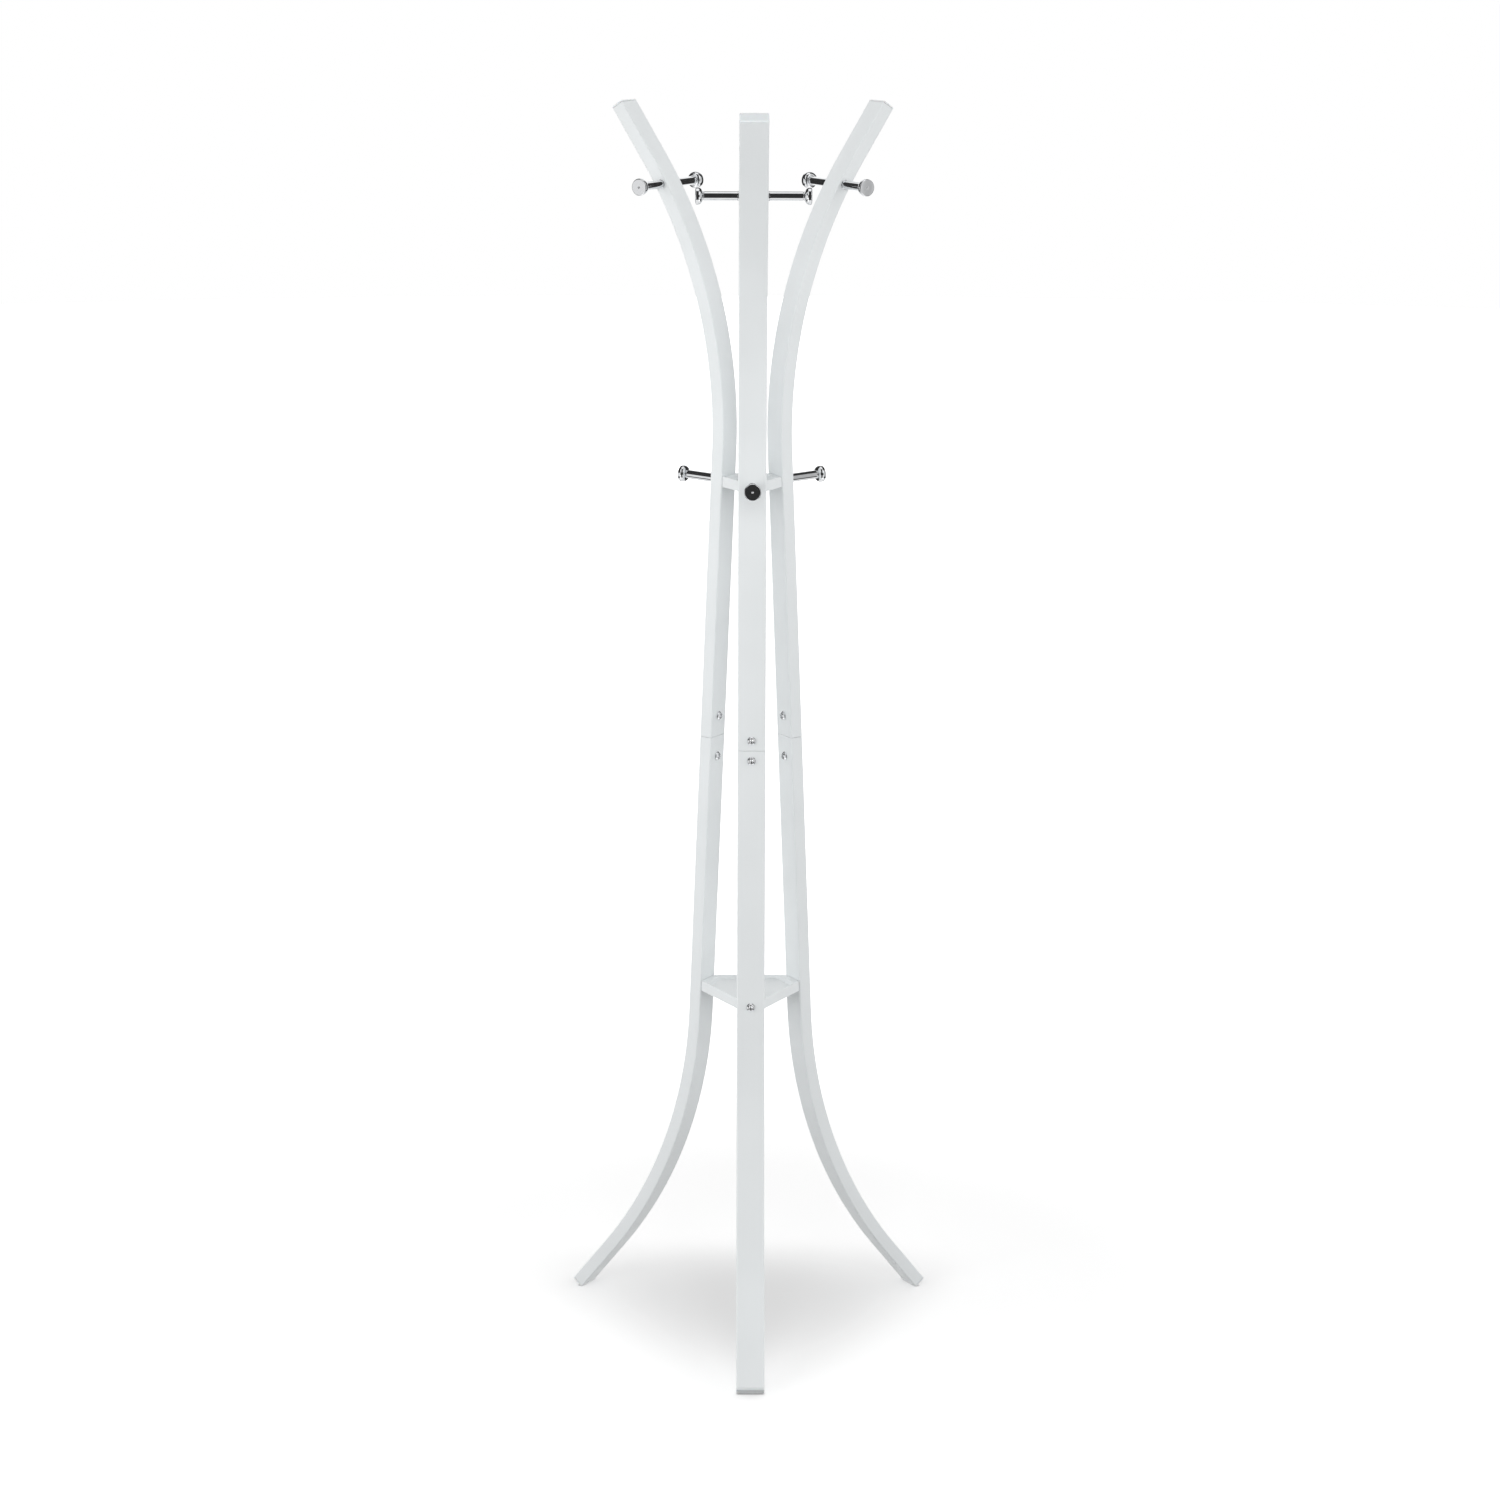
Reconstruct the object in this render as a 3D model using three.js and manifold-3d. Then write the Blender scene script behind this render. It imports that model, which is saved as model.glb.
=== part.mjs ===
// A standing coat rack. Three identical bent posts of flat steel tube stand round one axis, each made of an
// upper and a lower tube that butt together over a hidden connector. A small pressed plate ties the posts
// together above the middle and a wider pressed tray ties them below it. Nine turned pegs carry the coats.
// Millimetres, +Z up. The stand rests on its three feet at z = 0.
import * as THREE from "three";
import { mergeVertices } from "three/addons/utils/BufferGeometryUtils.js";
import Module from "manifold-3d";

const radians = THREE.MathUtils.degToRad;

// Posts: the azimuth of each, seen from above.
const POSTS = { front: radians(-90), left: radians(150), right: radians(30) };

// Post tube: a flat rectangular steel tube, wide face outwards.
const TUBE_WIDTH = 40;
const TUBE_DEPTH = 19;
const TUBE_CORNER = 2;
const TUBE_WALL = 1.2;
const SEAM_STRAIGHT = 416; // straight length from the seam to the bend
const BEND_RADIUS = 672;
const BEND_ANGLE = radians(36.6);
const END_STRAIGHT = 87; // straight length from the bend to the tube's end
const POST_LEAN = radians(2.6); // the posts draw together towards the top
const SEAM_RADIUS = 64.5; // from the stand's axis to a post's centre line at the seam

// Clearances.
const GAP = 0.3; // between faces that meet
const HOLE_ROOM = 0.3; // all round a screw in its hole
const NUT_ROOM = 1; // between a nut and the sheet above it

// End caps: a flange as large as the tube and a hollow plug inside it.
const CAP_FLANGE = 2.5;
const PLUG_DEPTH = 15;
const PLUG_WALL = 2;
const FOOT_TRIM = 1.2; // height taken off the lowest edge, which leaves a flat to stand on

// Connector: a sleeve inside both tubes at the seam.
const CONNECTOR_WALL = 2.5;
const CONNECTOR_LAP = 50; // length in each tube

// Screws, studs and nuts.
const THREAD = 6;
const HEAD_WIDTH = 13;
const HEAD_HEIGHT = 3.2;
const SOCKET_ACROSS = 6;
const SOCKET_DEPTH = 2;
const OUTER_SCREW = 14.5; // from the seam, on the outer face
const INNER_SCREW = 30; // from the seam, on the inner face
const NUT_ACROSS = 10;
const NUT_HEIGHT = 5;
const THREAD_STICKOUT = 2; // past the nut or the sleeve wall

// Pegs: one turned shape for all nine.
const PEG_LENGTH = 59; // from the post to the face of the head
const PEG_ROD = 12.5;
const PEG_HEAD = 24;
const PEG_RIM = 5; // thickness of the head's straight rim
const PEG_SHOULDER = 4.8; // length over which the head narrows to the rod
const PEG_CHAMFER = 1;
const PEG_SEAT = 14; // thin ring that seats on the post
const PEG_SEAT_THICKNESS = 1.5;
const PEG_BORE_DEPTH = 13; // threaded bore for the stud
const DIMPLE_WIDTH = 3;
const DIMPLE_DEPTH = 0.6;
const UPPER_PEG_FROM_END = 129; // along the centre line, from the upper tube's end

// Plate and tray: pressed steel, skirted, with a dished top, bolted to the posts' inner faces.
const BOLT_BEFORE_BEND = 41.5; // along the tube, from the bolts back to the start of the bend
const SHEET = 1.5;
const SKIRT_HEIGHT = 15;
const CORNER_SETBACK = 1; // the corner faces stop this short of the tube's sides
const SIDE_RIM = 3; // flat rim along the long sides
const DISH_SLOPE = 4;
const DISH_DEPTH = 5;

// Facets.
const BEND_STEPS = 12;
const ROUND_SIDES = 12;
const PEG_SIDES = 16;

const wasm = await Module();
wasm.setup();

// ---- Solids ----

// A closed geometry, placed by a matrix, as a body that can be joined and cut.
function body(geometry, place = new THREE.Matrix4()) {
  const bare = new THREE.BufferGeometry();
  bare.setAttribute("position", geometry.getAttribute("position").clone());
  bare.setIndex(geometry.getIndex());
  const merged = mergeVertices(bare.applyMatrix4(place), 1e-3);
  return new wasm.Manifold(
    new wasm.Mesh({
      numProp: 3,
      vertProperties: merged.getAttribute("position").array,
      triVerts: new Uint32Array(merged.getIndex().array),
    }),
  );
}

// A body as a flat-shaded geometry.
function surface(solid) {
  const mesh = solid.getMesh();
  const indexed = new THREE.BufferGeometry();
  indexed.setAttribute("position", new THREE.BufferAttribute(mesh.vertProperties, 3));
  indexed.setIndex(new THREE.BufferAttribute(mesh.triVerts, 1));
  const flat = indexed.toNonIndexed();
  flat.computeVertexNormals();
  return flat;
}

function cut(geometry, ...tools) {
  return surface(tools.reduce((solid, tool) => solid.subtract(tool), body(geometry)));
}

// A round tool from start to end, for cutting a hole.
function drill(diameter, start, end) {
  const run = new THREE.Vector3().subVectors(end, start);
  const cylinder = new THREE.CylinderGeometry(diameter / 2, diameter / 2, run.length(), ROUND_SIDES);
  const turn = new THREE.Quaternion().setFromUnitVectors(
    new THREE.Vector3(0, 1, 0),
    run.clone().normalize(),
  );
  const middle = start.clone().lerp(end, 0.5);
  return body(cylinder, new THREE.Matrix4().compose(middle, turn, new THREE.Vector3(1, 1, 1)));
}

// A turned piece about +Z. The profile is a list of [radius, height], from the axis back to the axis.
function turned(profile, sides) {
  const points = profile.map(([radius, height]) => new THREE.Vector2(radius, height));
  return new THREE.LatheGeometry(points, sides).rotateX(Math.PI / 2);
}

function rectangle(width, height, Kind = THREE.Shape) {
  const x = width / 2;
  const y = height / 2;
  return new Kind([
    new THREE.Vector2(-x, -y),
    new THREE.Vector2(x, -y),
    new THREE.Vector2(x, y),
    new THREE.Vector2(-x, y),
  ]);
}

// The tube's outline, with its rounded corners.
function tubeOutline(width, height) {
  const x = width / 2 - TUBE_CORNER;
  const y = height / 2 - TUBE_CORNER;
  return new THREE.Shape()
    .absarc(x, y, TUBE_CORNER, 0, Math.PI / 2)
    .absarc(-x, y, TUBE_CORNER, Math.PI / 2, Math.PI)
    .absarc(-x, -y, TUBE_CORNER, Math.PI, 1.5 * Math.PI)
    .absarc(x, -y, TUBE_CORNER, 1.5 * Math.PI, 2 * Math.PI);
}

// ---- The post's centre line ----

// Distances run from the seam along a tube. x is outwards and z runs along the tube's straight part.
const BEND_LENGTH = BEND_RADIUS * BEND_ANGLE;
const TUBE_LENGTH = SEAM_STRAIGHT + BEND_LENGTH + END_STRAIGHT;

function centreLine(distance) {
  const turn = THREE.MathUtils.clamp((distance - SEAM_STRAIGHT) / BEND_RADIUS, 0, BEND_ANGLE);
  const straight = Math.min(distance, SEAM_STRAIGHT);
  const rest = Math.max(distance - SEAM_STRAIGHT - BEND_LENGTH, 0);
  return {
    turn,
    x: BEND_RADIUS * (1 - Math.cos(turn)) + rest * Math.sin(turn),
    z: straight + BEND_RADIUS * Math.sin(turn) + rest * Math.cos(turn),
  };
}

// The same line as a curve with one step on each straight and equal steps round the bend.
class BentLine extends THREE.Curve {
  distance(u) {
    const step = u * (BEND_STEPS + 2);
    if (step <= 1) return THREE.MathUtils.lerp(GAP / 2, SEAM_STRAIGHT, step);
    if (step <= BEND_STEPS + 1) return SEAM_STRAIGHT + (BEND_LENGTH * (step - 1)) / BEND_STEPS;
    return SEAM_STRAIGHT + BEND_LENGTH + END_STRAIGHT * (step - BEND_STEPS - 1);
  }
  getPointAt(u) {
    const { x, z } = centreLine(this.distance(u));
    return new THREE.Vector3(x, 0, z);
  }
  getTangentAt(u) {
    const { turn } = centreLine(this.distance(u));
    return new THREE.Vector3(Math.sin(turn), 0, Math.cos(turn));
  }
}

// A group at a distance along the tube, its z along the tube and its x outwards.
function stationAt(distance) {
  const { x, z, turn } = centreLine(distance);
  const group = new THREE.Group();
  group.position.set(x, 0, z);
  group.rotation.y = turn;
  return group;
}

const BOLT_HEIGHT = SEAM_STRAIGHT - BOLT_BEFORE_BEND; // from the seam, up in one tube and down in the other
const HOLE = THREAD + 2 * HOLE_ROOM;
const FACE = TUBE_DEPTH / 2; // from the centre line to the outer and the inner face
const SIDE = TUBE_WIDTH / 2; // from the centre line to a side face

// What the bolts at the plate and the tray clamp: the post, the skirt and the nut.
const SKIRT_FACE = FACE + GAP; // from the centre line to the skirt's outer face
const NUT_FACE = SKIRT_FACE + SHEET + GAP;
const BOLT_END = NUT_FACE + NUT_HEIGHT + THREAD_STICKOUT;
const CORNER_RIM = BOLT_END + NUT_ROOM - SKIRT_FACE; // the rim at a corner, over the nut and the bolt's end

// ---- Posts ----

// Swept along the centre line, a section's x runs across the tube's width and its y across the depth.
function tube(...holes) {
  const section = tubeOutline(TUBE_WIDTH, TUBE_DEPTH);
  section.holes.push(rectangle(TUBE_WIDTH - 2 * TUBE_WALL, TUBE_DEPTH - 2 * TUBE_WALL, THREE.Path));
  const swept = new THREE.ExtrudeGeometry(section, {
    steps: BEND_STEPS + 2,
    curveSegments: 1,
    extrudePath: new BentLine(),
  });
  return cut(swept, ...holes);
}

// Holes across the tube's depth at a height from the seam: through one wall, outer or inner, or both.
function outerHole(height) {
  return drill(HOLE, new THREE.Vector3(0, 0, height), new THREE.Vector3(TUBE_DEPTH, 0, height));
}
function innerHole(height) {
  return drill(HOLE, new THREE.Vector3(0, 0, height), new THREE.Vector3(-TUBE_DEPTH, 0, height));
}
function boltHole() {
  const start = new THREE.Vector3(-TUBE_DEPTH, 0, BOLT_HEIGHT);
  return drill(HOLE, start, new THREE.Vector3(TUBE_DEPTH, 0, BOLT_HEIGHT));
}

// The hole for the upper pegs' stud, through both side walls.
const UPPER_PEG_DISTANCE = TUBE_LENGTH - UPPER_PEG_FROM_END;
function pegHole() {
  const { x, z } = centreLine(UPPER_PEG_DISTANCE);
  return drill(HOLE, new THREE.Vector3(x, -TUBE_WIDTH, z), new THREE.Vector3(x, TUBE_WIDTH, z));
}

function connector() {
  const depth = TUBE_DEPTH - 2 * TUBE_WALL - 2 * GAP;
  const width = TUBE_WIDTH - 2 * TUBE_WALL - 2 * GAP;
  const section = rectangle(depth, width);
  section.holes.push(rectangle(depth - 2 * CONNECTOR_WALL, width - 2 * CONNECTOR_WALL, THREE.Path));
  const length = 2 * CONNECTOR_LAP;
  const sleeve = new THREE.ExtrudeGeometry(section, { depth: length, bevelEnabled: false });
  sleeve.translate(0, 0, -CONNECTOR_LAP);
  return cut(
    sleeve,
    outerHole(OUTER_SCREW),
    outerHole(-OUTER_SCREW),
    innerHole(INNER_SCREW),
    innerHole(-INNER_SCREW),
  );
}

// A cap for the tube's end, with z out of the tube and the end at z = 0.
function cap() {
  const flange = new THREE.ExtrudeGeometry(tubeOutline(TUBE_DEPTH, TUBE_WIDTH), {
    depth: CAP_FLANGE,
    curveSegments: 2,
    bevelEnabled: false,
  });
  flange.translate(0, 0, GAP);
  const depth = TUBE_DEPTH - 2 * TUBE_WALL - 2 * GAP;
  const width = TUBE_WIDTH - 2 * TUBE_WALL - 2 * GAP;
  const section = rectangle(depth, width);
  section.holes.push(rectangle(depth - 2 * PLUG_WALL, width - 2 * PLUG_WALL, THREE.Path));
  const plug = new THREE.ExtrudeGeometry(section, {
    depth: PLUG_DEPTH + GAP + CAP_FLANGE / 2,
    bevelEnabled: false,
  });
  plug.translate(0, 0, -PLUG_DEPTH);
  return surface(body(flange).add(body(plug)));
}

// The foot leans this far from upright, and its inner edge is the lowest.
const FOOT_LEAN = BEND_ANGLE + POST_LEAN;
const CAP_TOP = GAP + CAP_FLANGE;
const EDGE_DEPTH = CAP_TOP * Math.cos(FOOT_LEAN) + FACE * Math.sin(FOOT_LEAN); // below the end's centre

function footCap() {
  const block = 2 * TUBE_WIDTH;
  const below = new THREE.Matrix4()
    .makeRotationY(-FOOT_LEAN)
    .multiply(new THREE.Matrix4().makeTranslation(0, 0, EDGE_DEPTH - FOOT_TRIM + block / 2));
  return cut(cap(), body(new THREE.BoxGeometry(block, block, block), below));
}

// ---- Fasteners ----

// A button-head screw: its head's seat is at z = 0 and its thread runs down to -length.
function screw(length) {
  const edge = 0.6;
  const crown = HEAD_HEIGHT - edge;
  const dome = [0, 1, 2, 3].map((k) => {
    const angle = (k / 3) * radians(60);
    return [(HEAD_WIDTH / 2) * Math.cos(angle), edge + (crown * Math.sin(angle)) / Math.sin(radians(60))];
  });
  const profile = [[0, -length], [THREAD / 2, -length], [THREAD / 2, 0], [HEAD_WIDTH / 2, 0], ...dome];
  const blank = turned([...profile, [0, HEAD_HEIGHT]], ROUND_SIDES);
  const across = SOCKET_ACROSS / Math.cos(Math.PI / 6);
  const key = new THREE.CylinderGeometry(across / 2, across / 2, 2 * SOCKET_DEPTH, 6);
  const place = new THREE.Matrix4()
    .makeTranslation(0, 0, HEAD_HEIGHT)
    .multiply(new THREE.Matrix4().makeRotationX(Math.PI / 2));
  return cut(blank, body(key, place));
}

// A hexagon nut from z = 0 up, flats facing +X and -X.
function nut() {
  const corner = NUT_ACROSS / 2 / Math.cos(Math.PI / 6);
  const points = [0, 1, 2, 3, 4, 5].map((k) => {
    const angle = ((2 * k + 1) * Math.PI) / 6;
    return new THREE.Vector2(corner * Math.cos(angle), corner * Math.sin(angle));
  });
  const section = new THREE.Shape(points);
  section.holes.push(new THREE.Path().absarc(0, 0, HOLE / 2, 0, 2 * Math.PI));
  const options = { depth: NUT_HEIGHT, curveSegments: ROUND_SIDES / 2, bevelEnabled: false };
  return new THREE.ExtrudeGeometry(section, options);
}

// A threaded stud from z = start to z = end.
function stud(start, end) {
  return turned([[0, start], [THREAD / 2, start], [THREAD / 2, end], [0, end]], ROUND_SIDES);
}

// ---- Pegs ----

// A peg standing on z = 0: seat ring, rod, rounded shoulder and flat head with a centre dimple.
// Its blind bore opens in the seat.
function peg() {
  const rod = PEG_ROD / 2;
  const head = PEG_HEAD / 2;
  const shoulder = [0, 1, 2, 3].map((k) => {
    const angle = (k / 3) * (Math.PI / 2);
    const height = PEG_LENGTH - PEG_RIM - PEG_SHOULDER * Math.cos(angle);
    return [rod + (head - rod) * Math.sin(angle), height];
  });
  const bore = HOLE / 2;
  return turned(
    [
      [0, PEG_BORE_DEPTH],
      [bore, PEG_BORE_DEPTH],
      [bore, 0],
      [PEG_SEAT / 2, 0],
      [PEG_SEAT / 2, PEG_SEAT_THICKNESS],
      [rod, PEG_SEAT_THICKNESS],
      ...shoulder,
      [head, PEG_LENGTH - PEG_CHAMFER],
      [head - PEG_CHAMFER, PEG_LENGTH],
      [DIMPLE_WIDTH / 2, PEG_LENGTH],
      [0, PEG_LENGTH - DIMPLE_DEPTH],
    ],
    PEG_SIDES,
  );
}

// ---- Plate and tray ----

// A pressed pan: a triangle whose corners are cut off where the posts stand. Its skirt hangs below a flat
// rim and its middle is dished. Its bolts are at z = 0, where the corner faces are cornerDistance from the
// axis. These faces lean with the posts.
function pan(cornerDistance) {
  const corner = SIDE - CORNER_SETBACK;
  const sideDistance = cornerDistance * Math.cos(Math.PI / 3) + corner * Math.sin(Math.PI / 3);
  const top = NUT_ACROSS / 2 + NUT_ROOM + SHEET;
  const bottom = top - SKIRT_HEIGHT;
  const under = SHEET / 2; // how much further out the dish's underside bends than its top
  const dish = (inset, z) => [SIDE_RIM + inset, CORNER_RIM + inset, z];
  const rings = [
    dish(DISH_SLOPE - under, top - DISH_DEPTH - SHEET),
    dish(-under, top - SHEET),
    [SHEET, SHEET, top - SHEET],
    [SHEET, SHEET, bottom],
    [0, 0, bottom],
    [0, 0, top],
    dish(0, top),
    dish(DISH_SLOPE, top - DISH_DEPTH),
  ];
  const points = rings.flatMap(([sideInset, cornerInset, z]) => {
    const u = cornerDistance - z * Math.tan(POST_LEAN) - cornerInset;
    const v = (sideDistance - sideInset - u * Math.cos(Math.PI / 3)) / Math.sin(Math.PI / 3);
    return Object.values(POSTS).flatMap((azimuth) =>
      [-v, v].map((across) =>
        new THREE.Vector3(u, across, z).applyAxisAngle(new THREE.Vector3(0, 0, 1), azimuth),
      ),
    );
  });
  const sides = 2 * Object.keys(POSTS).length;
  const order = ringOrder(points.slice(0, sides));
  const index = [];
  for (let ring = 0; ring + 1 < rings.length; ring += 1) {
    for (let k = 0; k < sides; k += 1) {
      const a = ring * sides + order[k];
      const b = ring * sides + order[(k + 1) % sides];
      index.push(a, a + sides, b, b, a + sides, b + sides);
    }
  }
  const last = (rings.length - 1) * sides;
  for (let k = 1; k + 1 < sides; k += 1) {
    index.push(order[0], order[k], order[k + 1]);
    index.push(last + order[0], last + order[k + 1], last + order[k]);
  }
  const geometry = new THREE.BufferGeometry().setFromPoints(points).setIndex(index);
  const holes = Object.values(POSTS).map((azimuth) => {
    const along = new THREE.Vector3(Math.cos(POST_LEAN), 0, Math.sin(POST_LEAN)).multiplyScalar(2 * SHEET);
    const middle = new THREE.Vector3(cornerDistance, 0, 0);
    const ends = [middle.clone().sub(along), middle.clone().add(along)];
    const [start, end] = ends.map((p) => p.applyAxisAngle(new THREE.Vector3(0, 0, 1), azimuth));
    return drill(HOLE, start, end);
  });
  return cut(geometry, ...holes);
}

// The order that walks a ring of points clockwise, seen from above.
function ringOrder(points) {
  const angles = points.map((p) => Math.atan2(p.y, p.x));
  return points.map((_, k) => k).sort((a, b) => angles[b] - angles[a]);
}

// ---- Finishes ----

const finish = {
  powderCoat: () => new THREE.MeshStandardMaterial({ color: 0xe8eaeb, roughness: 0.45, metalness: 0 }),
  whitePlastic: () => new THREE.MeshStandardMaterial({ color: 0xeceded, roughness: 0.5, metalness: 0 }),
  chrome: () => new THREE.MeshStandardMaterial({ color: 0xd4d7da, roughness: 0.08, metalness: 1 }),
  zincSteel: () => new THREE.MeshStandardMaterial({ color: 0xa9adb1, roughness: 0.4, metalness: 1 }),
};

function piece(name, geometry, material) {
  const mesh = new THREE.Mesh(geometry, material);
  mesh.name = name;
  return mesh;
}

// Stands a piece made along +Z on a face of the tube, pointing outwards (+X), inwards (-X) or sideways.
function point(mesh, direction, distance) {
  mesh.quaternion.setFromUnitVectors(new THREE.Vector3(0, 0, 1), direction);
  mesh.position.addScaledVector(direction, distance);
  return mesh;
}
const OUTWARDS = new THREE.Vector3(1, 0, 0);
const INWARDS = new THREE.Vector3(-1, 0, 0);
const SIDEWAYS = { left: new THREE.Vector3(0, -1, 0), right: new THREE.Vector3(0, 1, 0) };

// ---- Assembly ----

const JOINT_SCREW = GAP + TUBE_WALL + GAP + CONNECTOR_WALL + THREAD_STICKOUT;

// The seam's height follows from the foot: its trimmed edge is at z = 0.
const END = centreLine(TUBE_LENGTH);
const END_DROP = END.z * Math.cos(POST_LEAN) - END.x * Math.sin(POST_LEAN);
const SEAM_HEIGHT = END_DROP + EDGE_DEPTH - FOOT_TRIM;

// One tube and what sits on it, from the seam: upper as it stands, lower turned over.
function halfPost(name, half, holes, endCap) {
  const group = new THREE.Group();
  group.add(piece(`${name}_${half}_post`, tube(...holes), finish.powderCoat()));
  for (const [face, direction, height] of [
    ["outer", OUTWARDS, OUTER_SCREW],
    ["inner", INWARDS, INNER_SCREW],
  ]) {
    const station = stationAt(height);
    const fastener = piece(`${name}_${face}_${half}_screw`, screw(JOINT_SCREW), finish.chrome());
    station.add(point(fastener, direction, FACE + GAP));
    group.add(station);
  }
  const end = stationAt(TUBE_LENGTH);
  end.add(endCap);
  group.add(end);
  return group;
}

function boltNut(name) {
  return point(piece(name, nut(), finish.zincSteel()), INWARDS, NUT_FACE);
}

function middlePeg(name) {
  const station = stationAt(BOLT_HEIGHT);
  station.add(point(piece(`${name}_middle_peg`, peg(), finish.chrome()), OUTWARDS, FACE + GAP));
  const rod = stud(-(FACE + GAP + PEG_BORE_DEPTH - THREAD_STICKOUT), BOLT_END);
  station.add(point(piece(`${name}_middle_peg_stud`, rod, finish.zincSteel()), INWARDS, 0));
  station.add(boltNut(`${name}_middle_peg_nut`));
  return station;
}

function upperPegs(name) {
  const station = stationAt(UPPER_PEG_DISTANCE);
  for (const [side, direction] of Object.entries(SIDEWAYS)) {
    const end = piece(`${name}_upper_peg_${side}`, peg(), finish.chrome());
    station.add(point(end, direction, SIDE + GAP));
  }
  const reach = SIDE + GAP + PEG_BORE_DEPTH - THREAD_STICKOUT;
  const rod = piece(`${name}_upper_peg_stud`, stud(-reach, reach), finish.zincSteel());
  station.add(point(rod, SIDEWAYS.right, 0));
  return station;
}

function trayBolt(name) {
  const station = stationAt(BOLT_HEIGHT);
  const length = FACE + GAP + BOLT_END;
  station.add(point(piece(`${name}_tray_screw`, screw(length), finish.chrome()), OUTWARDS, FACE + GAP));
  station.add(boltNut(`${name}_tray_nut`));
  return station;
}

function post(name, azimuth) {
  const seam = new THREE.Group();
  seam.position.set(SEAM_RADIUS, 0, SEAM_HEIGHT);
  seam.rotation.y = -POST_LEAN;

  const topCap = piece(`${name}_top_cap`, cap(), finish.whitePlastic());
  const upper = halfPost(name, "upper", [
    outerHole(OUTER_SCREW),
    innerHole(INNER_SCREW),
    boltHole(),
    pegHole(),
  ], topCap);
  upper.add(middlePeg(name), upperPegs(name));

  const foot = piece(`${name}_foot_cap`, footCap(), finish.whitePlastic());
  const lower = halfPost(name, "lower", [
    outerHole(OUTER_SCREW),
    innerHole(INNER_SCREW),
    boltHole(),
  ], foot);
  lower.add(trayBolt(name));
  lower.rotation.x = Math.PI;

  seam.add(upper, lower, piece(`${name}_post_connector`, connector(), finish.zincSteel()));
  const group = new THREE.Group();
  group.rotation.z = azimuth;
  group.add(seam);
  return group;
}

// A pan between the posts, level with the bolts at a height from the seam.
function panAt(name, height) {
  const distance = SEAM_RADIUS - SKIRT_FACE * Math.cos(POST_LEAN) - height * Math.sin(POST_LEAN);
  const mesh = piece(name, pan(distance), finish.powderCoat());
  mesh.position.z = SEAM_HEIGHT - SKIRT_FACE * Math.sin(POST_LEAN) + height * Math.cos(POST_LEAN);
  return mesh;
}

const stand = new THREE.Group();
for (const [name, azimuth] of Object.entries(POSTS)) stand.add(post(name, azimuth));
stand.add(panAt("upper_plate", BOLT_HEIGHT));
stand.add(panAt("lower_tray", -BOLT_HEIGHT));

// The origin is on the floor, at the middle of the box round the whole stand.
const box = new THREE.Box3().setFromObject(stand, true);
stand.position.set(-(box.min.x + box.max.x) / 2, -(box.min.y + box.max.y) / 2, 0);

const rack = new THREE.Group();
rack.add(stand);
export default rack;
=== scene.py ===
import math

import bmesh
import bpy
from mathutils import Matrix, Vector


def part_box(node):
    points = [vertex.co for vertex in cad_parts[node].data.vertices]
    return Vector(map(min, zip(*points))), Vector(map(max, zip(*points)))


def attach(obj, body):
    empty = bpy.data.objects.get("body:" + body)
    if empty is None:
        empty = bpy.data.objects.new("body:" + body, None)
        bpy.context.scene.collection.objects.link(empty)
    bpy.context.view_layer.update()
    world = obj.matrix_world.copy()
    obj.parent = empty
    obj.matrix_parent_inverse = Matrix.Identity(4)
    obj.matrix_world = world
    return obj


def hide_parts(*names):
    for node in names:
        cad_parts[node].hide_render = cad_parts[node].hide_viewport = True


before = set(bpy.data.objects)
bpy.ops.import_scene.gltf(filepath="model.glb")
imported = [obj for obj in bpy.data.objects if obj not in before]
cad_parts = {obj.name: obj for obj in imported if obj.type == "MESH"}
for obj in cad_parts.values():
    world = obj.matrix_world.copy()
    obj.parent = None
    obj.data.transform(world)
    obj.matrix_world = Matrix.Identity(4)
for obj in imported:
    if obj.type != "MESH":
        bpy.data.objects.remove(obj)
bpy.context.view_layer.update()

MM = 0.001


# ---- Studio ----
# A white sweep under soft light that is strongest from the two sides, with one large soft lamp in front of
# the stand and one to its left. The floor glows, as a lit sweep does, and has its shade painted in. What the
# polished pegs mirror is a darker room with a few soft panels.


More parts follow.
